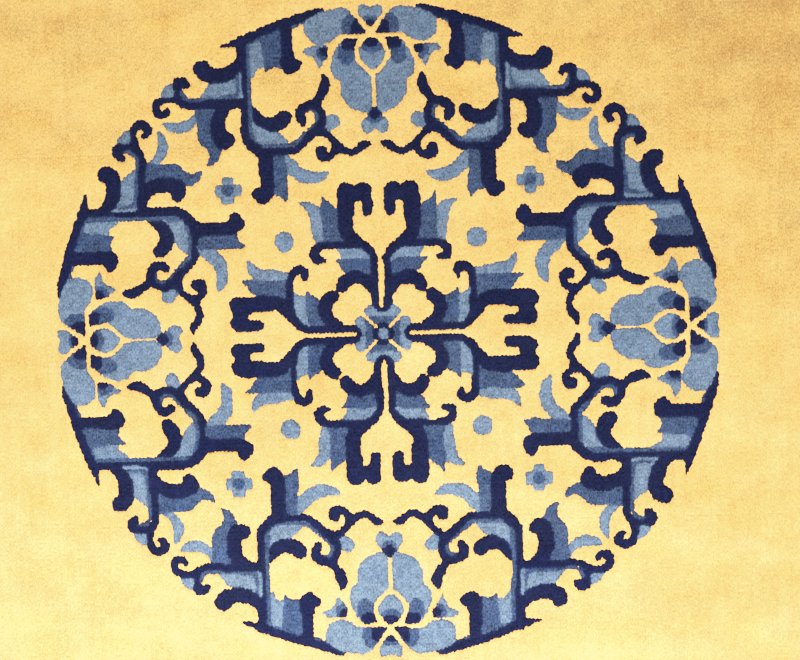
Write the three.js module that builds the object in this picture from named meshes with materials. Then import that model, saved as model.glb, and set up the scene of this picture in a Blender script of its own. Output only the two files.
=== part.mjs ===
// A flat hand-knotted wool rug: one thick cloth of cotton warps and wefts with a cut wool pile.
// Millimetres, +Z up. The rug lies on z = 0, centred on the origin, with its warps along Y.

import * as THREE from 'three';

// The weave: a ninety line quality, so ninety knots to the foot across and along.
const FOOT = 304.8;
const KNOT_PITCH = FOOT / 90;
const KNOT_COLUMNS = 249;
const KNOT_ROWS = 291;

// Heights above the floor.
const FOUNDATION_THICKNESS = 3;
const PILE_HEIGHT = 8;

// The overcast edge: gold yarn whipped round the outer warps and the turned end web.
const EDGE_ROLL_RADIUS = 2.8;
const EDGE_ROLL_INNER_HEIGHT = 4.5;
const EDGE_TO_PILE_GAP = 1.2;
const EDGE_CORNER_RADIUS = 9;
const MIN_CORNER_RADIUS = 1.5;

// The pile's rim leans out a little and is rounded over by clipping.
const PILE_LEAN = 0.8;
const PILE_SHOULDER_RADIUS = 3.2;

// How finely the round stretches are drawn.
const CORNER_STEPS = 8;
const ROLL_STEPS = 10;
const SHOULDER_STEPS = 5;

const EDGE_BAND = 2 * EDGE_ROLL_RADIUS + EDGE_TO_PILE_GAP;
const WIDTH = KNOT_COLUMNS * KNOT_PITCH + 2 * EDGE_BAND;
const LENGTH = KNOT_ROWS * KNOT_PITCH + 2 * EDGE_BAND;
const TOTAL_THICKNESS = FOUNDATION_THICKNESS + PILE_HEIGHT;

// The finish of the undyed ground: soft, dull, golden wool.
const GOLD_WOOL = { color: 0xf7db8e, roughness: 0.95, metalness: 0 };

/** A point of the edge section: how far in from the outer edge, and how high. */
function sectionPoint(inset, height) {
  return { inset, height };
}

/**
 * The rug's edge section, from the underside, round the overcast roll, down into the furrow
 * beside the first knots, and up the rim of the pile to its clipped top.
 */
function edgeSection() {
  const section = [];
  // The roll is pressed flat where it lies on the floor, so it starts straight below its middle.
  for (let i = 0; i <= ROLL_STEPS; i += 1) {
    const turn = -Math.PI / 2 + (i / ROLL_STEPS) * Math.PI;
    section.push(sectionPoint(
      EDGE_ROLL_RADIUS - EDGE_ROLL_RADIUS * Math.cos(turn),
      EDGE_ROLL_RADIUS + EDGE_ROLL_RADIUS * Math.sin(turn),
    ));
  }
  section.push(sectionPoint(2 * EDGE_ROLL_RADIUS - EDGE_TO_PILE_GAP / 2, EDGE_ROLL_INNER_HEIGHT));
  section.push(sectionPoint(EDGE_BAND - EDGE_TO_PILE_GAP / 2, FOUNDATION_THICKNESS));

  const rim = EDGE_BAND - PILE_LEAN;
  const shoulderBase = TOTAL_THICKNESS - PILE_SHOULDER_RADIUS;
  for (let i = 0; i <= SHOULDER_STEPS; i += 1) {
    const turn = (i / SHOULDER_STEPS) * (Math.PI / 2);
    section.push(sectionPoint(
      rim + PILE_SHOULDER_RADIUS * (1 - Math.cos(turn)),
      shoulderBase + PILE_SHOULDER_RADIUS * Math.sin(turn),
    ));
  }
  return section;
}

/** The outline of the rug, inset from its outer edge, as points counterclockwise from above. */
function insetOutline(inset) {
  const x = WIDTH / 2 - inset;
  const y = LENGTH / 2 - inset;
  const r = Math.max(EDGE_CORNER_RADIUS - inset, MIN_CORNER_RADIUS);
  const corners = [
    { cx: x - r, cy: y - r, start: 0 },
    { cx: -x + r, cy: y - r, start: Math.PI / 2 },
    { cx: -x + r, cy: -y + r, start: Math.PI },
    { cx: x - r, cy: -y + r, start: 1.5 * Math.PI },
  ];
  return corners.flatMap(({ cx, cy, start }) => (
    Array.from({ length: CORNER_STEPS + 1 }, (_, i) => {
      const turn = start + (i / CORNER_STEPS) * (Math.PI / 2);
      return new THREE.Vector2(cx + r * Math.cos(turn), cy + r * Math.sin(turn));
    })
  ));
}

/** The whole rug: the edge section carried round the outline, closed by two flat faces. */
function rugGeometry() {
  const rings = edgeSection().map(({ inset, height }) => ({ outline: insetOutline(inset), height }));
  const count = rings[0].outline.length;
  const positions = rings.flatMap(({ outline, height }) => outline.flatMap((p) => [p.x, p.y, height]));
  const index = [];

  for (let ring = 0; ring + 1 < rings.length; ring += 1) {
    for (let i = 0; i < count; i += 1) {
      const next = (i + 1) % count;
      const lower = ring * count;
      const upper = lower + count;
      index.push(lower + i, lower + next, upper + next);
      index.push(lower + i, upper + next, upper + i);
    }
  }

  const top = rings.length - 1;
  for (const [a, b, c] of THREE.ShapeUtils.triangulateShape(rings[0].outline, [])) {
    index.push(a, c, b);
  }
  for (const [a, b, c] of THREE.ShapeUtils.triangulateShape(rings[top].outline, [])) {
    index.push(top * count + a, top * count + b, top * count + c);
  }

  const geometry = new THREE.BufferGeometry();
  geometry.setAttribute('position', new THREE.Float32BufferAttribute(positions, 3));
  geometry.setIndex(index);
  geometry.computeVertexNormals();
  return geometry;
}

function buildRug() {
  const rug = new THREE.Mesh(rugGeometry(), new THREE.MeshStandardMaterial(GOLD_WOOL));
  rug.name = 'knotted_rug';
  return rug;
}

const model = new THREE.Group();
model.add(buildRug());

export default model;
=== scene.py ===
"""A flat hand-knotted wool rug: a gold field round one medallion of scrolls, leaves and flowers in blue.

Lengths are metres in the rug's own frame: the rug lies on z = 0, its warps run along Y. The medallion is
drawn in chart units, a little less than one knot each, and then charted knot by knot.
"""

import logging
import math
from dataclasses import asdict, dataclass, field
from enum import Enum
from typing import Sequence

import bmesh
import bpy
import numpy as np
from mathutils import Matrix, Vector

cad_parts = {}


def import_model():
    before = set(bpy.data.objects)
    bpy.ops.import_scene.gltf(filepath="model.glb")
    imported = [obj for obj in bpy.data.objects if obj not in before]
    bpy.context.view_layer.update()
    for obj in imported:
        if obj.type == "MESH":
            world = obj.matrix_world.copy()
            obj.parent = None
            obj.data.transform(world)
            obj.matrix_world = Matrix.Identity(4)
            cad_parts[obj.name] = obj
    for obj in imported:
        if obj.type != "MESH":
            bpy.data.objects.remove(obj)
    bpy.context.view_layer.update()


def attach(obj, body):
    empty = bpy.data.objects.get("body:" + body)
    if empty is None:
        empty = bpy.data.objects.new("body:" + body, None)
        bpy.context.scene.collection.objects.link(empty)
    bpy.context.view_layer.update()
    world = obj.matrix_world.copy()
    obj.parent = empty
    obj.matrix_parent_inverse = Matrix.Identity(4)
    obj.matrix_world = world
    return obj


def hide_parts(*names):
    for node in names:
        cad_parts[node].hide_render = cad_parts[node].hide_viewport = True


LOG = logging.getLogger("rug")
MM = 0.001
CURVE_STEPS_PER_UNIT = 6

Colour = tuple[float, float, float]
Place = tuple[float, float, float]
Socket = bpy.types.NodeSocket


class Yarn(Enum):
    """The four wools of the pile, by the number that stands for each in the chart."""

    GOLD = 0
    NAVY = 1
    MID_BLUE = 2
    LIGHT_BLUE = 3

    @property
    def slot(self) -> str:
        """The material slot that this wool fills."""
        return f"{self.name.lower()}_wool"


GOLD, NAVY, MID_BLUE, LIGHT_BLUE = Yarn


@dataclass(frozen=True)
class Cloth:
    """The rug's weave and its real sizes, in metres."""

    knot: float = 304.8 / 90 * MM
    columns: int = 249
    rows: int = 291
    web: float = 3 * MM
    pile: float = 8 * MM
    roll_radius: float = 2.8 * MM
    furrow: float = 1.2 * MM
    lean_out: float = 0.8 * MM
    corner: float = 9 * MM

    @property
    def edge_band(self) -> float:
        """The width of the overcast roll and the furrow beside it."""
        return 2 * self.roll_radius + self.furrow

    @property
    def top(self) -> float:
        """The height of the clipped pile above the floor."""
        return self.web + self.pile

    @property
    def knotted_width(self) -> float:
        """The width across the knots."""
        return self.columns * self.knot

    @property
    def knotted_length(self) -> float:
        """The length along the knots."""
        return self.rows * self.knot

    @property
    def flat(self) -> tuple[float, float]:
        """The whole rug's width and length."""
        return (self.knotted_width + 2 * self.edge_band, self.knotted_length + 2 * self.edge_band)


def spline(points: np.ndarray, tips: Sequence[int], closed: bool) -> np.ndarray:
    """Draws a smooth curve through the points, in steps of about a sixth of a chart unit.

    Args:
        points: One row a point: across, up, and whatever else changes along the curve.
        tips: The numbers of the points where the curve turns sharply.
        closed: Whether the curve runs back to its first point.

    Returns:
        The curve's points, one row each.
    """
    count = len(points)
    spans = count if closed else count - 1
    drawn = []
    for i in range(spans):
        a, b = points[i], points[(i + 1) % count]
        sharp_start = i in tips or (i == 0 and not closed)
        sharp_end = (i + 1) % count in tips or (i == spans - 1 and not closed)
        before = a if sharp_start else points[i - 1]
        after = b if sharp_end else points[(i + 2) % count]
        steps = 2 + int(CURVE_STEPS_PER_UNIT * math.dist(a[:2], b[:2]))
        t = np.linspace(0, 1, steps, endpoint=False)[:, None]
        drawn.append(
            (2 * t**3 - 3 * t**2 + 1) * a + (t**3 - 2 * t**2 + t) * (b - before) / 2
            + (3 * t**2 - 2 * t**3) * b + (t**3 - t**2) * (after - a) / 2
        )
    if not closed:
        drawn.append(points[-1:])
    return np.concatenate(drawn)


def beside(curve: np.ndarray, margin: float, across: np.ndarray, up: np.ndarray) -> np.ndarray:
    """Tells which of the places lie in the curve's box, widened by a margin."""
    low, high = curve[:, :2].min(axis=0) - margin, curve[:, :2].max(axis=0) + margin
    return (across >= low[0]) & (across <= high[0]) & (up >= low[1]) & (up <= high[1])


@dataclass(frozen=True)
class Stroke:
    """A drawn line that swells and tapers. Each point is (across, up, half width), in chart units."""

    yarn: Yarn
    points: tuple[tuple[float, float, float], ...]

    def covers(self, across: np.ndarray, up: np.ndarray) -> np.ndarray:
        """Tells which of the places lie under the line.

        Args:
            across: How far across each place lies, in chart units.
            up: How far up each place lies.

        Returns:
            True for each place under the line.
        """
        line = spline(np.array(self.points), (), closed=False)
        covered = beside(line, line[:, 2].max(), across, up)
        x, y = across[covered], up[covered]
        under = np.zeros(x.shape, bool)
        for line_x, line_y, half in line:
            under |= (x - line_x) ** 2 + (y - line_y) ** 2 <= half * half
        covered[covered] = under
        return covered


@dataclass(frozen=True)
class Leaf:
    """A filled shape with a smooth outline through (across, up) points, sharp only at its tips."""

    yarn: Yarn
    points: tuple[tuple[float, float], ...]
    tips: tuple[int, ...] = ()

    def covers(self, across: np.ndarray, up: np.ndarray) -> np.ndarray:
        """Tells which of the places lie inside the outline.

        Args:
            across: How far across each place lies, in chart units.
            up: How far up each place lies.

        Returns:
            True for each place inside the outline.
        """
        outline = spline(np.array(self.points), self.tips, closed=True)
        covered = beside(outline, 0, across, up)
        x, y = across[covered], up[covered]
        inside = np.zeros(x.shape, bool)
        for (x0, y0), (x1, y1) in zip(outline, np.roll(outline, -1, axis=0)):
            if y0 == y1:
                continue
            crosses = (y < y0) != (y < y1)
            inside ^= crosses & (x < x0 + (y - y0) * (x1 - x0) / (y1 - y0))
        covered[covered] = inside
        return covered


@dataclass(frozen=True)
class Dot:
    """A round spot, in chart units."""

    yarn: Yarn
    across: float
    up: float
    radius: float

    def covers(self, across: np.ndarray, up: np.ndarray) -> np.ndarray:
        """Tells which of the places lie under the spot."""
        return (across - self.across) ** 2 + (up - self.up) ** 2 <= self.radius**2


Motif = Stroke | Leaf | Dot


@dataclass(frozen=True)
class Medallion:
    """The drawing of one eighth of the medallion, from its upward axis to its right-hand diagonal.

    The other seven eighths are its mirror images. Motifs are laid one over another in order.

    Attributes:
        centre_flower: The small flower in the middle, with four heart-shaped petals.
        arm: The arm from the flower to the hooked head, with its two-coloured flames and bands.
        dots: The round spot and the four-petalled rosette on the diagonal.
        frame: The outer arc, the upright bar and the turned bar that frame a gold window.
        frame_leg: The navy leg under the turned bar, with a middle blue band and a light leaf beside it.
        outer_branches: The club, branch, hook, curl and hanging bands outside the upright bar.
        scroll: The winding stem between the peony and the window, with its spirals and its bud.
        peony: The large flower at the arm's end: buds, side petals and the heavy lower petals.
    """

    centre_flower: tuple[Motif, ...] = (
        Dot(LIGHT_BLUE, 2.9, 5.6, 1.95),
        Leaf(LIGHT_BLUE, ((0, 1), (1.4, 1.6), (4.3, 4.4), (3.4, 6.4), (0, 5.4))),
        Leaf(MID_BLUE, ((0, 1), (1.7, 1.6), (3.8, 4.3), (3.2, 5.0), (1.5, 4.3), (0, 4.7))),
        Leaf(NAVY, ((0, 1), (1.5, 1.3), (2.0, 2.0), (1.3, 2.7), (0, 2.9))),
        Dot(LIGHT_BLUE, 0, 0, 1.5),
        Stroke(GOLD, ((1.7, 1.7, 0.35), (3.1, 3.1, 0.42), (4.6, 4.6, 0.45))),
    )
    arm: tuple[Motif, ...] = (
        Leaf(LIGHT_BLUE, (
            (13.8, 23.6), (16.6, 23.8), (17.6, 27.3), (18.0, 30.5), (18.6, 32.6), (20.7, 35.0),
            (17.4, 34.9), (15.2, 33.2), (14.4, 29),
        ), tips=(5,)),
        Leaf(MID_BLUE, (
            (6.6, 24.6), (14.4, 23.8), (14.9, 28), (15.1, 33), (14.9, 37.4), (13.4, 35.3), (11.4, 33.9),
            (9.6, 30),
        ), tips=(0, 4)),
        Leaf(LIGHT_BLUE, (
            (2.3, 18.6), (3.0, 21.2), (5, 22.8), (11.8, 23.0), (10.4, 20.8), (9.9, 19.5), (5, 19.4),
        ), tips=(3,)),
        Leaf(MID_BLUE, (
            (2.2, 15), (2.5, 18.9), (5, 19.8), (12.1, 19.8), (10.5, 18.2), (9.6, 16.4), (5.5, 16.4),
        ), tips=(3,)),
        Stroke(NAVY, (
            (2.6, 11.6, 1.2), (3.8, 13.9, 1.5), (6.5, 15.1, 1.75), (9.0, 14.3, 1.85), (10.1, 12.8, 1.75),
        )),
        Stroke(NAVY, ((0.3, 5.9, 0.5), (1.2, 7.0, 0.9), (1.6, 9, 1.1), (1.75, 14, 1.15), (1.5, 20, 0.95))),
        Stroke(NAVY, ((1.5, 20, 0.95), (2.6, 21.9, 1.1), (5.2, 24.1, 1.3), (8.0, 26.4, 1.6))),
        Stroke(NAVY, ((8.7, 26.2, 1.5), (8.8, 30, 2.15), (8.4, 37.3, 2.35))),
        Stroke(NAVY, ((8.3, 37.8, 2.4), (6.2, 36.7, 1.7), (3.9, 37.6, 2.4))),
        Stroke(NAVY, ((3.2, 36.4, 1.7), (3.0, 35.0, 1.5), (2.9, 33.6, 1.45), (3.0, 32.3, 1.3))),
        Stroke(NAVY, (
            (5.2, 23.6, 1.0), (12, 23.7, 0.95), (15.4, 23.5, 1.05), (17.1, 22.4, 1.2), (17.5, 20.9, 1.2),
            (16.8, 19.9, 1.15), (15.5, 19.8, 0.95), (14.5, 19.9, 0.4),
        )),
        Stroke(GOLD, ((0, 7.0, 0.4), (0, 9, 0.55), (0, 20.6, 0.55), (0, 22, 0.9))),
    )
    dots: tuple[Motif, ...] = (
        Dot(LIGHT_BLUE, 25.0, 25.0, 2.7),
        Leaf(LIGHT_BLUE, ((37.45, 35.5), (40.75, 35.5), (40.75, 42.7), (37.45, 42.7)), tips=(0, 1, 2, 3)),
        Dot(MID_BLUE, 39.1, 39.1, 1.7),
    )
    frame: tuple[Motif, ...] = (
        Leaf(LIGHT_BLUE, (
            (27.8, 80.6), (32.6, 79.4), (32.2, 72), (31.2, 67.8), (29.6, 70.7), (27.9, 71.6),
        ), tips=(0, 1, 3)),
        Leaf(MID_BLUE, (
            (20.6, 82.3), (29.4, 79.8), (28.5, 76), (27.9, 68.9), (25.9, 70.7), (23.0, 71.4),
        ), tips=(0, 1, 3)),
        Stroke(MID_BLUE, ((16.6, 82.5, 0.4), (20, 81.5, 0.7), (26, 80.0, 0.9), (31.6, 78.0, 0.9))),
        Stroke(NAVY, ((21.9, 81, 1.6), (22.0, 75, 1.75), (21.9, 71.6, 2.1))),
        Stroke(NAVY, ((21.4, 71.0, 2.3), (19.5, 71.3, 1.3))),
        Leaf(LIGHT_BLUE, (
            (21.9, 50.2), (24.6, 53.3), (28.0, 54.2), (30.6, 56.4), (32.6, 60.5), (32.8, 51), (30.4, 49.2),
            (24, 49.2),
        ), tips=(0, 4)),
        Stroke(NAVY, (
            (23.4, 57.7, 1.95), (24.9, 56.4, 2.05), (27.3, 55.9, 1.9), (29.6, 56.9, 1.65),
            (31.7, 59.8, 1.0),
        )),
        Stroke(MID_BLUE, ((32.3, 79, 0.8), (32.2, 53.5, 0.85), (29.6, 50.2, 0.7), (22.4, 50.0, 0.6))),
        Stroke(NAVY, (
            (33.9, 78.2, 1.2), (33.8, 60, 1.2), (33.8, 53.2, 1.2), (33.0, 51.2, 1.3), (30.6, 48.9, 1.5),
        )),
        Stroke(NAVY, ((30.6, 48.6, 1.15), (22.6, 48.5, 1.1), (20.0, 49.9, 1.15), (17.6, 52.2, 1.25))),
        Stroke(NAVY, (
            (12.4, 84.8, 0.85), (15, 84.2, 1.25), (20, 82.8, 1.25), (25, 81.3, 1.2), (30, 79.5, 1.2),
            (34.4, 77.7, 1.2), (39.2, 76.6, 0.25),
        )),
    )
    frame_leg: tuple[Motif, ...] = (
        Leaf(LIGHT_BLUE, (
            (24.8, 47.8), (21.6, 46.6), (19.4, 44.2), (16.4, 43.1), (11.9, 43.0), (14.4, 40.2),
            (19.8, 40.1), (22.1, 41.9), (24, 43.4),
        ), tips=(4,)),
        Leaf(MID_BLUE, (
            (23.6, 47.6), (27.6, 47.6), (27.6, 38), (25.7, 36.8), (23.7, 34.8), (23.2, 38), (23.4, 42),
        ), tips=(0, 1, 4)),
        Stroke(NAVY, ((28.7, 47.5, 1.95), (28.8, 42, 1.9), (28.8, 38.8, 1.9), (30.0, 37.1, 2.2))),
        Dot(NAVY, 31.1, 37.5, 1.8),
    )
    outer_branches: tuple[Motif, ...] = (
        Leaf(LIGHT_BLUE, (
            (34.0, 71), (36.8, 69.2), (39.3, 67.6), (42.6, 67.0), (44.1, 65.0), (46.4, 62.4), (38, 62.2),
            (34.0, 62.6),
        ), tips=(0, 5, 7)),
        Stroke(MID_BLUE, ((35.2, 69, 0.3), (35.3, 65.2, 0.5), (37.4, 63.2, 0.8), (48, 62.9, 0.6))),
        Stroke(NAVY, (
            (34.4, 72.4, 1.3), (36.0, 70.7, 1.7), (38.3, 69.5, 2.0), (41.4, 69.2, 2.0), (43.4, 70.0, 2.3),
        )),
        Dot(NAVY, 44.1, 71.1, 2.3),
        Leaf(LIGHT_BLUE, (
            (46, 61.2), (48.2, 58.3), (51, 57.2), (55.8, 57.2), (53.4, 54.7), (49.4, 54.4), (47, 56.2),
            (45.4, 58.6),
        ), tips=(3,)),
        Leaf(MID_BLUE, (
            (40.8, 61.6), (46.7, 61.2), (46.5, 57), (46.4, 52.4), (44.3, 50), (43.6, 48.1), (44.5, 45.6),
            (42.3, 46), (40.9, 47.6), (40.2, 50), (41.5, 54),
        ), tips=(6,)),
        Stroke(NAVY, ((36.4, 61.8, 1.0), (39.4, 60.1, 1.7), (40.7, 57.4, 2.0), (40.7, 54, 2.1))),
        Stroke(NAVY, ((40.7, 54, 2.1), (39.8, 52, 2.2), (38.2, 52.3, 1.85))),
        Stroke(MID_BLUE, ((49.0, 63.3, 0.6), (49.9, 64.6, 0.6), (50.0, 66.2, 0.4))),
        Stroke(NAVY, ((34, 61.8, 1.2), (42, 61.7, 1.1), (48.8, 61.6, 1.0), (51.2, 63.3, 1.2))),
        Stroke(NAVY, (
            (51.3, 63.3, 1.2), (51.6, 65.8, 1.2), (50.8, 67.6, 1.45), (49.4, 67.8, 1.4), (48.4, 66.9, 1.05),
        )),
        Leaf(LIGHT_BLUE, ((52.4, 67.5), (54.1, 67.0), (55.5, 65.1), (55.2, 64), (52.4, 64.2))),
        Stroke(NAVY, (
            (51.6, 63.3, 1.0), (55.2, 63.3, 1.0), (56.9, 62.1, 1.1), (57.0, 60.4, 1.15), (55.8, 59.3, 1.15),
            (54.4, 59.8, 1.05), (54.0, 60.7, 0.7),
        )),
    )
    scroll: tuple[Motif, ...] = (
        Stroke(LIGHT_BLUE, ((11.0, 56.1, 1.9), (12.6, 54.6, 1.4))),
        Stroke(MID_BLUE, ((21.6, 50.2, 0.7), (18.4, 53.2, 0.55), (15.2, 56.1, 0.6), (15.0, 58.2, 0.65))),
        Stroke(MID_BLUE, ((15.0, 58.2, 0.65), (16.2, 59.4, 0.6), (17.8, 59.1, 0.45))),
        Stroke(NAVY, (
            (12.9, 68.2, 0.4), (12.4, 66.0, 1.35), (12.9, 64.2, 1.45), (14.1, 62.3, 1.15),
            (15.4, 60.8, 1.15), (17.4, 60.5, 1.15), (19.2, 59.3, 1.3), (19.4, 57.7, 1.35),
            (18.7, 56.4, 1.2),
        )),
        Stroke(NAVY, ((15.0, 60.6, 0.9), (13.9, 58.6, 1.05), (13.7, 56.4, 1.1), (15.0, 54.2, 1.3))),
        Stroke(NAVY, ((17.6, 52.2, 1.25), (15.0, 53.8, 1.25), (12.5, 52.6, 0.95), (10.6, 50.4, 1.0))),
        Stroke(NAVY, (
            (10.6, 50.4, 1.0), (8.6, 48.6, 1.0), (6.3, 47.9, 1.0), (4.5, 48.6, 1.1), (3.1, 49.7, 1.1),
            (1.4, 49.9, 0.5),
        )),
        Stroke(NAVY, (
            (10.6, 50.4, 1.0), (10.8, 48.2, 1.05), (12.4, 46.7, 1.1), (14.2, 47.2, 1.4), (14.3, 48.5, 1.5),
        )),
    )
    peony: tuple[Motif, ...] = (
        Leaf(LIGHT_BLUE, (
            (0.5, 78.3), (5.2, 84.6), (9, 85.4), (13, 84.5), (16.4, 82.7), (17.2, 80), (16.0, 77.3),
            (13.2, 76.1), (10.2, 77.0), (8, 78.3),
        ), tips=(0,)),
        Leaf(MID_BLUE, ((0.5, 78.3), (4.7, 83.7), (6.6, 82.8), (7.5, 80.8), (7.3, 78.3)), tips=(0, 4)),
        Leaf(NAVY, ((0.5, 78.3), (4.0, 82.6), (4.9, 80.9), (4.8, 78.3)), tips=(0, 1, 3)),
        Leaf(LIGHT_BLUE, (
            (0, 80.0), (1.8, 82.0), (3.2, 84), (3.0, 85.8), (1.6, 86.1), (0, 85.2),
        ), tips=(0, 5)),
        Leaf(MID_BLUE, ((0, 80.0), (1.8, 82.0), (1.5, 83.0), (0, 82.8)), tips=(0,)),
        Leaf(NAVY, ((0, 80.0), (1.5, 81.5), (0.9, 82.2), (0, 82.0)), tips=(0,)),
        Leaf(LIGHT_BLUE, (
            (3.4, 77.4), (7.2, 77.4), (8.9, 75.4), (10.1, 73), (10.8, 70.2), (10.2, 67.7), (8.5, 66.4),
            (8.5, 63.4), (7.3, 60.8), (4.6, 58.7), (1.5, 58.4), (0.55, 59.4), (0.55, 67.2), (2.2, 69.4),
            (4.2, 71.7), (4.4, 74),
        ), tips=(0, 1, 6)),
        Leaf(MID_BLUE, ((4.3, 75.2), (8.8, 75.4), (8.6, 71.8), (6.6, 70.4), (4.8, 72.0)), tips=(0, 1)),
        Leaf(NAVY, ((3.4, 77.4), (7.2, 77.4), (7.8, 75.5), (6.8, 74.4), (4.5, 74.7)), tips=(0, 1)),
        Leaf(LIGHT_BLUE, (
            (0, 77.9), (1.9, 76.7), (3.3, 74.4), (3.0, 72.2), (1.6, 70.3), (0, 69.1),
        ), tips=(0, 5)),
        Leaf(MID_BLUE, ((0, 77.9), (1.9, 76.7), (2.9, 75.1), (1.7, 74.0), (0, 73.6)), tips=(0, 4)),
        Leaf(NAVY, ((0, 77.9), (1.8, 76.8), (1.9, 75.6), (0, 75.0)), tips=(0, 3)),
        Leaf(LIGHT_BLUE, (
            (11.1, 75.8), (16, 75.8), (18.5, 74.2), (15.6, 73.1), (14.6, 71.5), (13.6, 69.4), (12.3, 71.6),
            (11.2, 73.6),
        ), tips=(0, 2, 5)),
        Leaf(MID_BLUE, ((11.1, 75.8), (14.2, 75.6), (14.6, 73.8), (13.4, 72.0), (11.8, 72)), tips=(0,)),
        Leaf(NAVY, ((11.1, 75.8), (13.4, 75.6), (13.2, 73.6), (11.3, 73.0)), tips=(0, 1)),
        Leaf(LIGHT_BLUE, (
            (0, 60.0), (2.0, 57.6), (3.7, 55.1), (3.0, 53.0), (1.6, 52.6), (0, 53.9),
        ), tips=(0, 5)),
        Leaf(MID_BLUE, ((0, 60.0), (2.0, 57.6), (1.8, 55.9), (0, 55.4)), tips=(0,)),
        Leaf(NAVY, ((0, 60.0), (1.8, 57.8), (1.2, 56.9), (0, 56.5)), tips=(0,)),
    )

    def motifs(self) -> list[Motif]:
        """All the motifs of one eighth, the lowest first."""
        parts = (self.centre_flower, self.arm, self.dots, self.frame, self.frame_leg, self.outer_branches)
        return [motif for part in (*parts, self.scroll, self.peony) for motif in part]


@dataclass(frozen=True)
class Chart:
    """Tells which wool lies where on the rug.

    The weaver follows the drawing by eye, so the medallion is a little wider than it is tall, its rows
    slope and its columns bow a little, and each eighth wanders from the others.
    """

    unit: float = 0.98
    reach: float = 92.0
    widened: float = 1.011
    shortened: float = 0.993
    slope: float = 0.005
    bow: float = 0.0001
    shift: float = 0.3
    wander: float = 0.2
    wander_waves: tuple[tuple[float, float, float], ...] = (
        (0.21, 0.13, 0.7), (-0.16, 0.24, 2.1), (0.31, -0.09, 4.0), (0.07, 0.35, 5.2),
    )

    def wools(self, columns: np.ndarray, rows: np.ndarray) -> np.ndarray:
        """Names the wool at each place.

        Args:
            columns: How many knots across from the rug's middle each place lies.
            rows: How many knots up from the rug's middle each place lies.

        Returns:
            The number of a Yarn for each place.
        """
        x, y = columns / self.unit, rows / self.unit
        across = (x - self.shift + self.bow * y * y) / self.widened
        up = (y + self.slope * x) / self.shortened
        stray_across, stray_up = self.wandering(across, up)
        across, up = across + stray_across, up + stray_up
        low, high = np.minimum(abs(across), abs(up)), np.maximum(abs(across), abs(up))
        drawn = high < self.reach
        low, high = low[drawn], high[drawn]
        wools = np.zeros(low.shape, int)
        for motif in Medallion().motifs():
            wools[motif.covers(low, high) | motif.covers(high, low)] = motif.yarn.value
        charted = np.zeros(columns.shape, int)
        charted[drawn] = wools
        return charted

    def wandering(self, across: np.ndarray, up: np.ndarray) -> tuple[np.ndarray, np.ndarray]:
        """Tells how far the weaver strays from the drawing.

        Args:
            across: How far across each place lies, in chart units.
            up: How far up each place lies.

        Returns:
            How far each place is off across, and how far up.
        """
        stray_across, stray_up = np.zeros(across.shape), np.zeros(across.shape)
        for a, b, start in self.wander_waves:
            stray_across += np.sin(a * across + b * up + start)
            stray_up += np.cos(b * across - a * up + start)
        share = self.wander / len(self.wander_waves)
        return share * stray_across, share * stray_up


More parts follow.
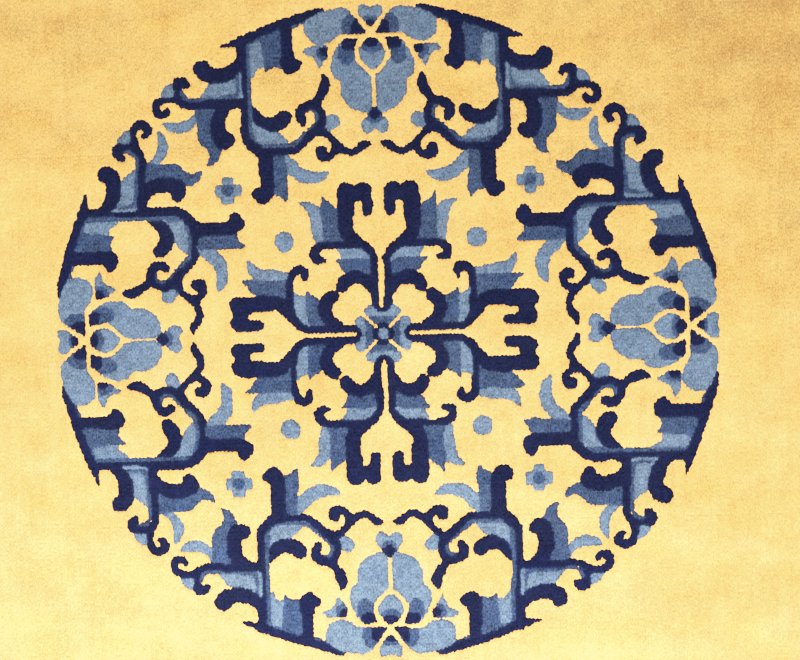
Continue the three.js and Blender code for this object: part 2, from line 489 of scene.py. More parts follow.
@dataclass
class PileTop:
    """The clipped top of the pile, worked out at every half knot.

    Attributes:
        splay: How far apart a tuft's quarters lie, as a share of a full half knot.
        easing: How far each round of clipping draws a colour's stepped edge towards a smooth line.
        tooth: How far the warps leave each tuft up or down its row, in knots.
        looseness: How far each corner strays, in knots.
        valley_depths: How deep the pile falls between tufts and on them, by row and column.
        valley_shades: How much shade is painted on each of those places, from 0 to 1.
        groove: How deep the shears cut between gold and blue.
        mixing: How much blue tufts of two shades mingle where they meet.
        rim_drops: How far the pile's outer rings of corners fall.
        wools: The Yarn number of each quarter of a knot, rows first.
        places: Where each corner of those quarters lies, in metres.
        depth: How much shade is painted on each corner, from 0 to 1: some between the tufts, most along the
            groove between gold and blue.
        mingling: The mean Yarn number of the blue tufts that meet at each corner.
    """

    cloth: Cloth
    chart: Chart
    splay: float = 0.75
    easing: float = 0.5
    easing_rounds: int = 2
    tooth: float = 0.09
    looseness: float = 0.15
    valley_depths: tuple[tuple[float, float], ...] = ((0.50 * MM, 0.40 * MM), (0.15 * MM, 0.0))
    valley_shades: tuple[tuple[float, float], ...] = ((0.35, 0.28), (0.12, 0.0))
    unevenness: float = 0.12 * MM
    groove: float = 0.35 * MM
    mixing: float = 0.4
    rim_drops: tuple[float, ...] = (3.2 * MM, 0.4 * MM)
    seed: int = 5
    wools: np.ndarray = field(init=False)
    places: np.ndarray = field(init=False)
    depth: np.ndarray = field(init=False)
    mingling: np.ndarray = field(init=False)

    def __post_init__(self) -> None:
        """Charts the wools and lays out the tufts."""
        cloth = self.cloth
        self.wools = self.charted()
        x = (np.arange(2 * cloth.columns + 1) - cloth.columns) * cloth.knot / 2
        y = (np.arange(2 * cloth.rows + 1) - cloth.rows) * cloth.knot / 2
        flat = np.stack(np.meshgrid(x, y), axis=-1)
        for _ in range(self.easing_rounds):
            flat = self.eased(flat)
        random = np.random.default_rng(self.seed)
        loose = random.uniform(-1, 1, flat.shape) * self.looseness * cloth.knot
        loose[..., 1] += self.tooth * cloth.knot * (-1.0) ** np.arange(flat.shape[1])
        inner = np.zeros(flat.shape[:2] + (1,))
        inner[1:-1, 1:-1] = 1
        flat = flat + loose * inner
        height, self.depth = self.relief(random)
        self.mingling = self.mingled()
        self.places = np.concatenate([flat, height[..., None]], axis=-1)
        self.lean_out_rim()

    def charted(self) -> np.ndarray:
        """Charts each quarter of a knot. A tuft's quarters lie close together, so they mostly agree.

        Returns:
            The Yarn number of each quarter, rows first.
        """
        cloth = self.cloth
        quarter = np.tile([-0.25, 0.25], max(cloth.columns, cloth.rows)) * self.splay
        columns = np.repeat(np.arange(cloth.columns) - cloth.columns // 2, 2) + quarter[:2 * cloth.columns]
        rows = np.repeat(np.arange(cloth.rows) - cloth.rows // 2, 2) + quarter[:2 * cloth.rows]
        return self.chart.wools(*np.meshgrid(columns, rows))

    def eased(self, flat: np.ndarray) -> np.ndarray:
        """Draws each colour's stepped edge towards the smooth line that clipping gives it.

        Args:
            flat: Where each corner lies, across and along.

        Returns:
            The corners, with those on a colour's edge moved.
        """
        total, count = np.zeros(flat.shape), np.zeros(flat.shape[:2])
        level = np.zeros((flat.shape[0], flat.shape[1] - 1), bool)
        level[1:-1] = self.wools[1:] != self.wools[:-1]
        upright = np.zeros((flat.shape[0] - 1, flat.shape[1]), bool)
        upright[:, 1:-1] = self.wools[:, 1:] != self.wools[:, :-1]
        for near, far, edge in (
            (np.s_[:, :-1], np.s_[:, 1:], level), (np.s_[:, 1:], np.s_[:, :-1], level),
            (np.s_[:-1], np.s_[1:], upright), (np.s_[1:], np.s_[:-1], upright),
        ):
            total[near] += flat[far] * edge[..., None]
            count[near] += edge
        along_edge = (count == 2)[..., None]
        middle = total / np.maximum(count, 1)[..., None]
        return np.where(along_edge, flat + self.easing * (middle - flat), flat)

    def relief(self, random: np.random.Generator) -> tuple[np.ndarray, np.ndarray]:
        """Works out how the clipped top rises and falls, and how much shade is painted on it.

        Args:
            random: The source of each corner's unevenness.

        Returns:
            The height of each corner, and the shade painted on it between the tufts and along the gold-blue
            groove, from 0 to 1.
        """
        shape = (2 * self.cloth.rows + 1, 2 * self.cloth.columns + 1)
        repeats = (shape[0] // 2 + 1, shape[1] // 2 + 1)
        drop = np.tile(np.array(self.valley_depths), repeats)[:shape[0], :shape[1]]
        depth = np.tile(np.array(self.valley_shades), repeats)[:shape[0], :shape[1]]
        between = np.zeros(shape, bool)
        gold = self.wools == GOLD.value
        across = gold[:, 1:] != gold[:, :-1]
        along = gold[1:] != gold[:-1]
        between[1:-1, 1:-1] = across[1:] | across[:-1] | along[:, 1:] | along[:, :-1]
        drop = drop + self.unevenness * random.uniform(-1, 1, shape) + self.groove * between
        # The second array is painted shade: darker between the tufts, darkest along the groove between gold
        # and blue.
        return self.cloth.top - drop, np.maximum(depth, between)

    def mingled(self) -> np.ndarray:
        """Finds where the blues meet.

        Returns:
            The mean Yarn number of the blue quarters round each corner, or 0 where there are none.
        """
        total = np.zeros((self.wools.shape[0] + 1, self.wools.shape[1] + 1))
        count = np.zeros(total.shape)
        for down in (np.s_[:-1], np.s_[1:]):
            for beside_it in (np.s_[:-1], np.s_[1:]):
                total[down, beside_it] += self.wools
                count[down, beside_it] += self.wools > GOLD.value
        return total / np.maximum(count, 1)

    def lean_out_rim(self) -> None:
        """Rounds the pile's rim down and lets it lean over the furrow beside the overcast edge."""
        cloth = self.cloth
        for ring, drop in enumerate(self.rim_drops):
            inside = np.s_[ring:-ring] if ring else np.s_[:]
            last = -1 - ring
            sides = (np.s_[ring, inside], np.s_[last, inside], np.s_[inside, ring], np.s_[inside, last])
            for side in sides:
                self.places[side + (2,)] = np.minimum(self.places[side + (2,)], cloth.top - drop)
        self.places[:, 0, 0] -= cloth.lean_out
        self.places[:, -1, 0] += cloth.lean_out
        self.places[0, :, 1] -= cloth.lean_out
        self.places[-1, :, 1] += cloth.lean_out
        for corner in (np.s_[0, 0], np.s_[0, -1], np.s_[-1, 0], np.s_[-1, -1]):
            self.places[corner][:2] -= np.sign(self.places[corner][:2]) * cloth.lean_out


class NodeSketch:
    """Places and wires the shader nodes of one material or node group."""

    def __init__(self, tree: bpy.types.NodeTree) -> None:
        """Starts on an empty tree."""
        self.tree = tree
        tree.nodes.clear()

    def add(self, kind: str, inputs: dict | None = None, **settings: object) -> bpy.types.Node:
        """Adds one node.

        Args:
            kind: The node's type.
            inputs: What each input socket, by name or number, is linked from or set to.
            settings: The node's own settings.

        Returns:
            The new node.
        """
        node = self.tree.nodes.new(kind)
        for name, value in settings.items():
            setattr(node, name, value)
        for name, value in (inputs or {}).items():
            if isinstance(value, Socket):
                self.tree.links.new(value, node.inputs[name])
            else:
                node.inputs[name].default_value = value
        return node

    def math(self, operation: str, *values: object) -> Socket:
        """A sum or other working on numbers or sockets."""
        return self.add("ShaderNodeMath", dict(enumerate(values)), operation=operation).outputs[0]

    def vector(self, operation: str, *values: object) -> Socket:
        """A working on vectors or sockets, whose result is a vector."""
        return self.add("ShaderNodeVectorMath", dict(enumerate(values)), operation=operation).outputs[0]

    def cloud(self, place: Socket, repeats: Place) -> Socket:
        """Makes smooth noise.

        Args:
            place: The socket of the place on the piece.
            repeats: How many lumps a metre holds along each axis.

        Returns:
            A socket whose value runs from about -1 to 1.
        """
        stretched = self.vector("MULTIPLY", place, repeats)
        noise = self.add("ShaderNodeTexNoise", {"Vector": stretched, "Scale": 1.0, "Detail": 2.0})
        return self.math("MULTIPLY_ADD", noise.outputs["Fac"], 4.0, -2.0)

    def blend(self, factor: object, first: object, second: object) -> Socket:
        """The first colour turning into the second as the factor goes from 0 to 1."""
        sockets = {"Factor": factor, 6: first, 7: second}
        return self.add("ShaderNodeMix", sockets, data_type="RGBA").outputs[2]

    def shaded(self, colour: Socket, tone: Socket) -> Socket:
        """The colour made lighter or darker by the tone."""
        return self.add("ShaderNodeVectorMath", {0: colour, "Scale": tone}, operation="SCALE").outputs[0]

    def raised(self, height: Socket, distance: float) -> Socket:
        """The normal of a surface whose height changes by so many metres."""
        sockets = {"Height": height, "Strength": 1.0, "Distance": distance}
        return self.add("ShaderNodeBump", sockets).outputs["Normal"]

    def surface(self, sockets: dict) -> None:
        """Ends the material in a shader with these sockets."""
        shader = self.add("ShaderNodeBsdfPrincipled", sockets)
        self.add("ShaderNodeOutputMaterial", {"Surface": shader.outputs[0]})


def new_material(name: str) -> tuple[bpy.types.Material, NodeSketch]:
    """Starts a material on an empty node tree.

    Args:
        name: The material's name.

    Returns:
        The material, and a sketch on its tree.
    """
    material = bpy.data.materials.new(name)
    material.use_nodes = True
    return material, NodeSketch(material.node_tree)


def new_group(
    name: str, inputs: dict[str, float], outputs: Sequence[str]
) -> tuple[bpy.types.NodeTree, NodeSketch, bpy.types.Node, bpy.types.Node]:
    """Starts a shader node group with named sockets that carry numbers.

    Args:
        name: The group's name.
        inputs: Each input's name and usual value.
        outputs: The outputs' names.

    Returns:
        The group, a sketch on it, and its input and output nodes.
    """
    group = bpy.data.node_groups.new(name, "ShaderNodeTree")
    for label, value in inputs.items():
        socket = group.interface.new_socket(label, in_out="INPUT", socket_type="NodeSocketFloat")
        socket.default_value = value
    for label in outputs:
        group.interface.new_socket(label, in_out="OUTPUT", socket_type="NodeSocketFloat")
    sketch = NodeSketch(group)
    return group, sketch, sketch.add("NodeGroupInput"), sketch.add("NodeGroupOutput")


@dataclass(frozen=True)
class Marks:
    """How much each kind of mark changes a wool's shade; the valley and corner marks are painted shade."""

    fibres: float = 0.05
    knots: float = 0.03
    columns: float = 0.03
    clouds: float = 0.05
    bands: float = 0.03
    # Painted shade between the tufts, along the gold-blue groove and down the pile's walls.
    painted_shade_in_valleys: float = 0.2
    # Painted shade that darkens the pile towards the rug's corner at +x, +y.
    corner: float = 0.1

    def by_socket(self) -> dict[str, float]:
        """Each mark's share by the name of its socket in the node group."""
        return {name.capitalize(): share for name, share in asdict(self).items()}


@dataclass(frozen=True)
class DyedYarnAndPaintedShade:
    """How the shade and nap of hand-dyed yarn change over the pile, together with shade painted in the
    valleys and towards the corner at +x, +y.

    Each triple but the slant says how many lumps a metre holds across, along and up.
    """

    fibres: Place = (820, 470, 470)
    fine_fibres: Place = (1900, 1100, 1100)
    columns: Place = (290, 16, 16)
    clouds: Place = (48, 44, 44)
    bands: Place = (5, 26, 5)
    patches: Place = (24, 36, 24)
    flecks: Place = (420, 180, 180)
    patch_share: float = 0.4
    fleck_share: float = 0.25
    fine_share: float = 0.25
    # Slant and start of the painted shade that darkens the pile towards the corner at +x, +y.
    corner_shade_slant: Place = (3.6, 2.8, 0)
    corner_shade_start: float = 0.9
    darkest: float = 0.2
    nap: float = 0.92
    nap_change: float = 0.04

    def group(self, cloth: Cloth) -> bpy.types.NodeTree:
        """Makes the node group of hand-dyed yarn and painted shade.

        Args:
            cloth: The weave, for the size of a knot.

        Returns:
            A group whose tone output is about 1 and carries painted shade as well as the yarn's own, whose
            Tint runs from 0 to 1, and whose Height is a fibre's.
        """
        outputs = ("Tone", "Tint", "Height", "Nap")
        group, sketch, given, result = new_group("dyed_wool_and_painted_shade", Marks().by_socket(), outputs)
        place = sketch.add("ShaderNodeTexCoord").outputs["Object"]
        fibres = sketch.cloud(place, self.fibres)
        tone = 1.0
        for label, mark in self.marks(sketch, place, fibres, cloth).items():
            tone = sketch.math("MULTIPLY_ADD", mark, given.outputs[label], tone)
        patches = sketch.math("MULTIPLY_ADD", sketch.cloud(place, self.patches), self.patch_share, 0.5)
        tint = sketch.add(
            "ShaderNodeMath", {0: sketch.cloud(place, self.flecks), 1: self.fleck_share, 2: patches},
            operation="MULTIPLY_ADD", use_clamp=True,
        )
        fine = sketch.cloud(place, self.fine_fibres)
        for label, value in (
            ("Tone", sketch.math("MAXIMUM", tone, self.darkest)),
            ("Tint", tint.outputs[0]),
            ("Height", sketch.math("MULTIPLY_ADD", fine, self.fine_share, fibres)),
            ("Nap", sketch.math("MULTIPLY_ADD", fibres, self.nap_change, self.nap)),
        ):
            sketch.tree.links.new(value, result.inputs[label])
        return group

    def marks(
        self, sketch: NodeSketch, place: Socket, fibres: Socket, cloth: Cloth
    ) -> dict[str, Socket]:
        """Makes the marks on the yarn, with the shade painted in the valleys and towards the corner at +x,
        +y.

        Args:
            sketch: The group's sketch.
            place: The socket of the place on the rug.
            fibres: The socket of the fibres' noise.
            cloth: The weave, for the size of a knot.

        Returns:
            Each mark, from about -1 to 1, by the name of the socket that holds its share.
        """
        # The attribute read here is painted shade for the valleys between tufts, the groove and the walls.
        painted_valley_shade = sketch.add("ShaderNodeAttribute", attribute_name="painted_valley_shade").outputs["Fac"]
        per_knot = (1 / cloth.knot,) * 3
        knot = sketch.vector("FLOOR", sketch.vector("MULTIPLY_ADD", place, per_knot, (0.5, 0.5, 0)))
        knot = sketch.vector("MULTIPLY", knot, (1, 1, 0))
        by_knot = sketch.add("ShaderNodeTexWhiteNoise", {"Vector": knot}, noise_dimensions="3D")
        # Painted shade: the pile grows darker towards the corner at +x, +y.
        slant = sketch.add(
            "ShaderNodeVectorMath", {0: place, 1: self.corner_shade_slant}, operation="DOT_PRODUCT",
        )
        painted_corner_shade = sketch.add(
            "ShaderNodeMath", {0: slant.outputs["Value"], 1: self.corner_shade_start},
            operation="SUBTRACT", use_clamp=True,
        )
        # The valley and corner marks are painted shade; the rest are the yarn's own marks.
        return {
            "Fibres": fibres,
            "Knots": sketch.math("MULTIPLY_ADD", by_knot.outputs["Value"], 2.0, -1.0),
            "Columns": sketch.cloud(place, self.columns),
            "Clouds": sketch.cloud(place, self.clouds),
            "Bands": sketch.cloud(place, self.bands),
            "Painted_shade_in_valleys": sketch.math("MULTIPLY", painted_valley_shade, -1.0),
            "Corner": sketch.math("MULTIPLY", painted_corner_shade.outputs[0], -1.0),
        }


@dataclass(frozen=True)
class WoolFinish:
    """One dyed wool, in linear colours: its own two shades and those of the wools that it mingles with."""

    yarn: Yarn
    dye: Colour
    drift: Colour
    marks: Marks
    darker: Colour | None = None
    lighter: Colour | None = None
    gloss: float = 0.05
    sheen: float = 0.01
    sheen_roughness: float = 0.6
    nap_height: float = 0.17 * MM

    def material(self, yarn: bpy.types.NodeTree) -> bpy.types.Material:
        """Makes the wool's material.

        Args:
            yarn: The node group of hand-dyed yarn.

        Returns:
            A material with the wool's own shades.
        """
        material, sketch = new_material(self.yarn.slot)
        marks = sketch.add("ShaderNodeGroup", None, node_tree=yarn)
        for label, share in self.marks.by_socket().items():
            marks.inputs[label].default_value = share
        shade = sketch.blend(marks.outputs["Tint"], (*self.dye, 1), (*self.drift, 1))
        meeting = sketch.add("ShaderNodeAttribute", attribute_name="mingled").outputs["Fac"]
        parting = sketch.math("MULTIPLY", meeting, -1.0)
        for neighbour, share in ((self.lighter, meeting), (self.darker, parting)):
            if neighbour:
                shade = sketch.blend(share, shade, (*neighbour, 1))
        sketch.surface({
            "Base Color": sketch.shaded(shade, marks.outputs["Tone"]), "Roughness": marks.outputs["Nap"],
            "Normal": sketch.raised(marks.outputs["Height"], self.nap_height),
            "Specular IOR Level": self.gloss, "Sheen Weight": self.sheen,
            "Sheen Roughness": self.sheen_roughness,
        })
        return material


@dataclass(frozen=True)
class WebFinish:
    """The underside: the backs of the knots in their four wools, with cotton wefts between their rows, and
    shade painted between the knot backs.
    """

    cotton: Colour = (0.62, 0.54, 0.40)
    weft_share: float = 0.26
    knot_height: float = 0.5 * MM
    tone: float = 0.62
    # Painted shade: each knot back lighter on its crown and darker where it dips.
    painted_lump_shade: float = 0.45
    fuzz: Place = (900, 900, 900)
    fuzz_share: float = 0.10
    bands: Place = (6, 70, 6)
    band_share: float = 0.06
    roughness: float = 0.95
    worn_smooth: float = -0.06
    gloss: float = 0.15

    def material(self, cloth: Cloth, dyes: Sequence[Colour]) -> bpy.types.Material:
        """Makes the underside's material.

        Args:
            cloth: The weave, for the size of a knot.
            dyes: The four wools' colours in the order of their numbers.

        Returns:
            A material that reads the number of the wool from each face.
        """
        material, sketch = new_material("cotton_web")
        wool = sketch.add("ShaderNodeAttribute", attribute_name="wool").outputs["Fac"]
        count = len(dyes) + 1
        middle_of_stop = sketch.math("DIVIDE", sketch.math("ADD", wool, 0.5), count)
        pick = sketch.add("ShaderNodeValToRGB", {"Fac": middle_of_stop})
        ramp = pick.color_ramp
        ramp.interpolation = "CONSTANT"
        for number, dye in enumerate((*dyes, self.cotton)):
            stop = ramp.elements[0] if number == 0 else ramp.elements.new(number / count)
            stop.color = (*dye, 1)
        ramp.elements.remove(ramp.elements[-1])
        place = sketch.add("ShaderNodeTexCoord").outputs["Object"]
        per_knot = (1 / cloth.knot,) * 3
        in_knot = sketch.vector("FRACTION", sketch.vector("MULTIPLY_ADD", place, per_knot, (0.5, 0.5, 0)))
        across, along, _ = sketch.add("ShaderNodeSeparateXYZ", {0: in_knot}).outputs
        loops = sketch.math("ABSOLUTE", sketch.math("SINE", sketch.math("MULTIPLY", across, 2 * math.pi)))
        rows = sketch.math("SINE", sketch.math("MULTIPLY", along, math.pi))
        lumps = sketch.math("MULTIPLY", loops, rows)
        weft = sketch.math("LESS_THAN", rows, self.weft_share)
        shade = sketch.blend(weft, pick.outputs["Color"], (*self.cotton, 1))
        # Painted shade from the knots' lumps: lighter crowns, darker between them.
        tone = sketch.math("MULTIPLY_ADD", lumps, self.painted_lump_shade, self.tone)
        tone = sketch.math("MULTIPLY_ADD", sketch.cloud(place, self.fuzz), self.fuzz_share, tone)
        tone = sketch.math("MULTIPLY_ADD", sketch.cloud(place, self.bands), self.band_share, tone)
        sketch.surface({
            "Base Color": sketch.shaded(shade, tone),
            "Roughness": sketch.math("MULTIPLY_ADD", lumps, self.worn_smooth, self.roughness),
            "Normal": sketch.raised(lumps, self.knot_height), "Specular IOR Level": self.gloss,
        })
        return material


def settle_order(bm: bmesh.types.BMesh) -> None:
    """Numbers corners and faces by their places, as extruding leaves them in another order each run.

    Args:
        bm: The shape.
    """
    for number, corner in enumerate(sorted(bm.verts, key=lambda corner: corner.co[:])):
        corner.index = number
    bm.verts.sort()
    for number, face in enumerate(sorted(bm.faces, key=lambda face: face.calc_center_median()[:])):
        face.index = number
    bm.faces.sort()


def finished_piece(
    bm: bmesh.types.BMesh, name: str, material: bpy.types.Material, smooth: bool = True
) -> bpy.types.Object:
    """Turns a worked shape into a piece of the rug.

    Args:
        bm: The shape, which is used up.
        name: The piece's name.
        material: Its finish.
        smooth: Whether light runs smoothly from face to face.

    Returns:
        The piece, riding on the rug and standing for the plain solid.
    """
    for face in bm.faces:
        face.smooth = smooth
    settle_order(bm)
    mesh = bpy.data.meshes.new(name)
    bm.to_mesh(mesh)
    bm.free()
    mesh.materials.append(material)
    piece = bpy.data.objects.new(name, mesh)
    bpy.context.collection.objects.link(piece)
    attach(piece, "root")
    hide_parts("knotted_rug")
    return piece


@dataclass
class Pile:
    """The cut wool pile, a piece for each blue and three for the gold ground, from end to end."""

    cloth: Cloth
    top: PileTop
    gold_parts: tuple[tuple[str, int, int], ...] = (
        ("gold_pile_near", 0, 97), ("gold_pile_middle", 97, 194), ("gold_pile_far", 194, 291),
    )

    def build(self, finishes: dict[Yarn, bpy.types.Material]) -> list[bpy.types.Object]:
        """Makes all the pieces of the pile.

        Args:
            finishes: The material of each wool.

        Returns:
            The gold pieces, then the blue ones.
        """
        pieces = [
            self.part(name, GOLD, first, last, finishes[GOLD])
            for name, first, last in self.gold_parts
        ]
        for yarn in (NAVY, MID_BLUE, LIGHT_BLUE):
            rows = np.flatnonzero((self.top.wools == yarn.value).any(axis=1)) // 2
            name = f"{yarn.name.lower()}_pile"
            pieces.append(self.part(name, yarn, int(rows[0]), int(rows[-1]) + 1, finishes[yarn]))
        return pieces

    def part(
        self, name: str, yarn: Yarn, first_row: int, last_row: int, finish: bpy.types.Material
    ) -> bpy.types.Object:
        """Makes the tufts of one wool.

        Args:
            name: The piece's name.
            yarn: Its wool.
            first_row: The lowest row of knots.
            last_row: The row of knots past the highest.
            finish: The wool's material.

        Returns:
            A piece with a tufted top and walls down to the web.
        """
        wools = self.top.wools[2 * first_row:2 * last_row]
        corners = np.s_[2 * first_row:2 * last_row + 1]
        places = self.top.places[corners].reshape(-1, 3)
        depths = self.top.depth[corners].ravel()
        meetings = (self.top.mingling[corners] - yarn.value).ravel() * self.top.mixing
        bm = bmesh.new()
        bmesh.ops.create_grid(bm, x_segments=wools.shape[1], y_segments=wools.shape[0], size=0.5)
        # This attribute carries painted shade: darker between the tufts and along the groove between gold
        # and blue.
        painted_valley_shade = bm.verts.layers.float.new("painted_valley_shade")
        mingled = bm.verts.layers.float.new("mingled")
        corner_values = zip(bm.verts, places.tolist(), depths.tolist(), meetings.tolist())
        for corner, place, depth, meeting in corner_values:
            corner.co = place
            corner[painted_valley_shade] = depth
            corner[mingled] = meeting
        others = [face for face, wool in zip(bm.faces, wools.ravel().tolist()) if wool != yarn.value]
        bmesh.ops.delete(bm, geom=others, context="FACES")
        rim = [edge for edge in bm.edges if edge.is_boundary]
        for edge in rim:
            edge.smooth = False
        walls = bmesh.ops.extrude_edge_only(bm, edges=rim)["geom"]
        reach_x, reach_y = self.cloth.knotted_width / 2, self.cloth.knotted_length / 2
        for foot in walls:
            if isinstance(foot, bmesh.types.BMVert):
                x, y, _ = foot.co
                foot.co = (min(max(x, -reach_x), reach_x), min(max(y, -reach_y), reach_y), self.cloth.web)
                # The walls' feet get full painted shade, so the walls darken towards the web.
                foot[painted_valley_shade] = 1.0
        return finished_piece(bm, name, finish)


@dataclass
class Foundation:
    """The woven web under the pile, whose underside shows the back of each knot."""

    cloth: Cloth
    chart: Chart
    selvage: float = 4 * MM
    cotton_number: int = len(Yarn)

    def build(self, finish: bpy.types.Material) -> bpy.types.Object:
        """Makes the web as a closed slab, with one face below for each knot.

        Args:
            finish: The underside's material.

        Returns:
            The web.
        """
        cloth = self.cloth
        columns = np.arange(cloth.columns) - cloth.columns // 2
        rows = np.arange(cloth.rows) - cloth.rows // 2
        wools = self.chart.wools(*np.meshgrid(columns.astype(float), rows.astype(float)))
        bm = bmesh.new()
        bmesh.ops.create_grid(bm, x_segments=cloth.columns, y_segments=cloth.rows, size=0.5)
        bmesh.ops.scale(bm, verts=bm.verts, vec=(cloth.knotted_width, cloth.knotted_length, 1))
        wool = bm.faces.layers.float.new("wool")
        for face, number in zip(bm.faces, wools.ravel().tolist()):
            face[wool] = number
        bmesh.ops.reverse_faces(bm, faces=bm.faces)
        knots = set(bm.faces)
        rim = [edge for edge in bm.edges if edge.is_boundary]
        for outward, upward in ((self.selvage, 0.0), (0.0, cloth.web)):
            edges = bmesh.ops.extrude_edge_only(bm, edges=rim)["geom"]
            rim = [edge for edge in edges if isinstance(edge, bmesh.types.BMEdge) and edge.is_boundary]
            for corner in {corner for edge in rim for corner in edge.verts}:
                for axis, reach in enumerate((cloth.knotted_width / 2, cloth.knotted_length / 2)):
                    if abs(corner.co[axis]) > reach - cloth.knot / 2:
                        corner.co[axis] += math.copysign(outward, corner.co[axis])
                corner.co.z += upward
        bmesh.ops.holes_fill(bm, edges=rim)
        for face in bm.faces:
            if face not in knots:
                face[wool] = self.cotton_number
        bmesh.ops.recalc_face_normals(bm, faces=bm.faces)
        return finished_piece(bm, "foundation", finish, smooth=False)


@dataclass
class OvercastEdge:
    """The gold yarn whipped round the outer warps and the turned ends."""

    cloth: Cloth
    wrap: float = 3 * MM
    steps_per_wrap: int = 3
    weld: float = 0.02 * MM
    steps_round: int = 14
    slim: float = 2.45 * MM
    full: float = 2.9 * MM
    corner_steps: int = 12

    def centre_line(self) -> np.ndarray:
        """Draws the middle of the roll, once round the rug.

        Returns:
            One (x, y) row a point, with the first point repeated.
        """
        inset = self.cloth.roll_radius
        half_x, half_y = self.cloth.flat[0] / 2 - inset, self.cloth.flat[1] / 2 - inset
        radius = self.cloth.corner - inset
        turn = np.linspace(0, math.pi / 2, self.corner_steps)
        corners = []
        for quarter, (side_x, side_y) in enumerate(((1, 1), (-1, 1), (-1, -1), (1, -1))):
            angle = turn + quarter * math.pi / 2
            x = side_x * (half_x - radius) + radius * np.cos(angle)
            y = side_y * (half_y - radius) + radius * np.sin(angle)
            corners.append(np.stack([x, y], axis=1))
        line = np.concatenate(corners)
        return np.concatenate([line, line[:1]])

    def build(self, finish: bpy.types.Material) -> bpy.types.Object:
        """Makes the roll, with a ridge for each turn of the yarn.

        Args:
            finish: The gold wool's material.

        Returns:
            The roll.
        """
        line = self.centre_line()
        lengths = np.concatenate([[0], np.cumsum(np.linalg.norm(np.diff(line, axis=0), axis=1))])
        wraps = round(lengths[-1] / self.wrap)
        steps = wraps * self.steps_per_wrap
        along = np.linspace(0, lengths[-1], steps + 1)
        middle = np.stack([np.interp(along, lengths, line[:, axis]) for axis in (0, 1)], axis=1)
        ahead = np.roll(middle[:-1], -1, axis=0) - np.roll(middle[:-1], 1, axis=0)
        ahead = np.concatenate([ahead, ahead[:1]])
        ahead /= np.linalg.norm(ahead, axis=1)[:, None]
        turn = np.linspace(0, 2 * math.pi, self.steps_round + 1)
        number, angle = np.meshgrid(np.arange(steps + 1), turn, indexing="ij")
        ridge = 0.5 + 0.5 * np.cos(2 * math.pi * number / self.steps_per_wrap + angle)
        radius = self.slim + (self.full - self.slim) * ridge
        out = radius * np.cos(angle)
        x = middle[:, :1] + out * ahead[:, 1:]
        y = middle[:, 1:] - out * ahead[:, :1]
        z = np.maximum(self.cloth.roll_radius + radius * np.sin(angle), 0)
        places = np.stack([x, y, z], axis=-1).reshape(-1, 3)
        bm = bmesh.new()
        bmesh.ops.create_grid(bm, x_segments=self.steps_round, y_segments=steps, size=0.5)
        painted_valley_shade = bm.verts.layers.float.new("painted_valley_shade")
        for corner, place, height in zip(bm.verts, places.tolist(), ridge.ravel().tolist()):
            corner.co = place
            # Painted shade between the turns of the yarn, darkest where the ridge is lowest.
            corner[painted_valley_shade] = 1 - height
        bmesh.ops.remove_doubles(bm, verts=bm.verts, dist=self.weld)
        bmesh.ops.recalc_face_normals(bm, faces=bm.faces)
        return finished_piece(bm, "overcast_edge", finish)


@dataclass(frozen=True)
class Lamp:
    """One soft lamp: its place, the spot it faces, its size, its watts and the angle of its cone."""

    name: str
    place: Place
    aim: Place
    size: tuple[float, float]
    power: float
    spread: float = math.pi

    def hang(self) -> None:
        """Hangs the lamp in the scene."""
        light = bpy.data.lights.new(self.name, "AREA")
        light.shape = "RECTANGLE"
        light.size, light.size_y = self.size
        light.energy = self.power
        light.spread = self.spread
        lamp = bpy.data.objects.new(self.name, light)
        lamp.location = self.place
        lamp.rotation_euler = (Vector(self.place) - Vector(self.aim)).to_track_quat("Z", "Y").to_euler()
        bpy.context.collection.objects.link(lamp)


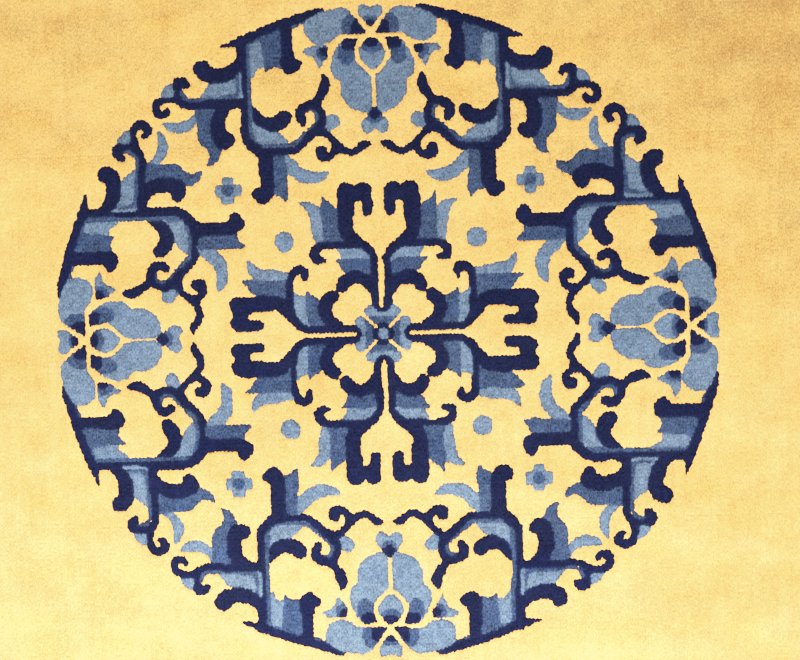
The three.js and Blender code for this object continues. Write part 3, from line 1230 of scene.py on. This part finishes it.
@dataclass(frozen=True)
class Studio:
    """The plain floor, the soft lights and the camera that looks down on the medallion."""

    target: Place = (0.0156, 0.0026, 0.011)
    distance: float = 1.2
    lean: tuple[float, float] = (0.0687, 0.0434)
    roll: float = math.radians(-1.75)
    lens: float = 62.2
    key: Lamp = Lamp("key", (-0.14, -0.85, 0.72), (-0.02, -0.45, 0.0), (0.9, 0.5), 18.3, math.radians(140))
    fill: Lamp = Lamp("fill", (0.9, 0.8, 2.2), (0, 0, 0), (2.0, 2.0), 3.5)
    sky: float = 0.81
    floor_size: float = 60.0
    floor_drop: float = 0.2 * MM
    floor_shades: tuple[Colour, Colour] = ((0.46, 0.46, 0.455), (0.50, 0.50, 0.495))
    floor_clouds: Place = (9, 9, 9)
    floor_cloud_share: float = 0.25
    floor_roughness: float = 0.8
    shoulder: tuple[tuple[float, float], ...] = (
        (0.5, 0.5), (0.65, 0.625), (0.83, 0.725), (1.06, 0.815), (1.3, 0.91), (1.7, 0.947), (2.1, 0.967),
        (3.0, 1.0),
    )

    def build(self) -> None:
        """Sets the floor, the lights and the camera."""
        self.floor()
        self.key.hang()
        self.fill.hang()
        world = bpy.data.worlds.new("soft_room")
        world.use_nodes = True
        background = world.node_tree.nodes["Background"]
        background.inputs["Color"].default_value = (1, 1, 1, 1)
        background.inputs["Strength"].default_value = self.sky
        bpy.context.scene.world = world
        self.film()
        self.camera()

    def floor(self) -> None:
        """Lays a pale floor under the rug."""
        bm = bmesh.new()
        bmesh.ops.create_grid(bm, x_segments=1, y_segments=1, size=self.floor_size / 2)
        bmesh.ops.translate(bm, verts=bm.verts, vec=(0, 0, -self.floor_drop))
        mesh = bpy.data.meshes.new("floor")
        bm.to_mesh(mesh)
        bm.free()
        material, sketch = new_material("pale_floor")
        cloud = sketch.cloud(sketch.add("ShaderNodeTexCoord").outputs["Object"], self.floor_clouds)
        share = sketch.math("MULTIPLY_ADD", cloud, self.floor_cloud_share, 0.5)
        dark, light = self.floor_shades
        shade = sketch.blend(share, (*dark, 1), (*light, 1))
        sketch.surface({"Base Color": shade, "Roughness": self.floor_roughness})
        mesh.materials.append(material)
        floor = bpy.data.objects.new("floor", mesh)
        bpy.context.collection.objects.link(floor)

    def film(self) -> None:
        """Gives the picture the soft shoulder of a camera, so bright gold keeps its texture."""
        view = bpy.context.scene.view_settings
        view.view_transform = "Standard"
        view.use_curve_mapping = True
        curves = view.curve_mapping
        curves.clip_max_x = curves.clip_max_y = 3.0
        overall = curves.curves[3]
        overall.points[-1].location = self.shoulder[-1]
        for point in self.shoulder[:-1]:
            overall.points.new(*point)
        curves.update()

    def camera(self) -> None:
        """Hangs the camera nearly straight above, turned a little as the picture is."""
        away = Vector((*self.lean, math.sqrt(1 - self.lean[0] ** 2 - self.lean[1] ** 2)))
        right = Vector((math.cos(self.roll), math.sin(self.roll), 0))
        right = (right - away * right.dot(away)).normalized()
        upward = away.cross(right)
        turned = Matrix((right, upward, away)).transposed()
        data = bpy.data.cameras.new("camera")
        data.lens = self.lens
        camera = bpy.data.objects.new("camera", data)
        place = Vector(self.target) + away * self.distance
        camera.matrix_world = Matrix.Translation(place) @ turned.to_4x4()
        bpy.context.collection.objects.link(camera)
        bpy.context.scene.camera = camera


def report(piece: bpy.types.Object) -> None:
    """Logs a piece's name and its number of triangles."""
    LOG.info("%s: %d triangles", piece.name, sum(len(face.vertices) - 2 for face in piece.data.polygons))


def main() -> None:
    """Builds the rug in its studio, in the order of its making."""
    logging.basicConfig(level=logging.INFO, format="%(message)s")
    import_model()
    cloth, chart = Cloth(), Chart()
    yarn = DyedYarnAndPaintedShade().group(cloth)
    navy, mid_blue, light_blue = (0.0080, 0.0104, 0.040), (0.040, 0.062, 0.122), (0.126, 0.175, 0.240)
    # Each wool's valleys and corner marks set how much painted shade it gets.
    wools = (
        WoolFinish(
            GOLD, (0.92, 0.426, 0.116), (0.88, 0.468, 0.153),
            Marks(
                fibres=0.30, knots=0.055, columns=0.055, clouds=0.12,
                bands=0.13, painted_shade_in_valleys=0.05, corner=0.18,
            ),
        ),
        WoolFinish(
            NAVY, (0.0071, 0.0100, 0.0410), (0.0097, 0.0119, 0.0366),
            Marks(
                fibres=0.60, knots=0.14, columns=0.05, clouds=0.14,
                bands=0.08, painted_shade_in_valleys=0.35, corner=0.05,
            ),
            lighter=mid_blue,
        ),
        WoolFinish(
            MID_BLUE, (0.0318, 0.0538, 0.120), (0.0514, 0.0746, 0.129),
            Marks(
                fibres=0.70, knots=0.20, columns=0.05, clouds=0.12,
                bands=0.08, painted_shade_in_valleys=0.30, corner=0.05,
            ),
            darker=navy, lighter=light_blue,
        ),
        WoolFinish(
            LIGHT_BLUE, (0.1110, 0.1610, 0.2385), (0.1370, 0.1870, 0.2520),
            Marks(
                fibres=0.50, knots=0.17, columns=0.04, clouds=0.08,
                bands=0.08, painted_shade_in_valleys=0.30, corner=0.05,
            ),
            darker=mid_blue,
        ),
    )
    finishes = {finish.yarn: finish.material(yarn) for finish in wools}
    web_finish = WebFinish().material(cloth, [finish.dye for finish in wools])
    foundation = Foundation(cloth, chart).build(web_finish)
    report(foundation)
    edge = OvercastEdge(cloth).build(finishes[GOLD])
    report(edge)
    tufts = Pile(cloth, PileTop(cloth, chart)).build(finishes)
    for piece in tufts:
        report(piece)
    Studio().build()


if __name__ == "__main__":
    main()
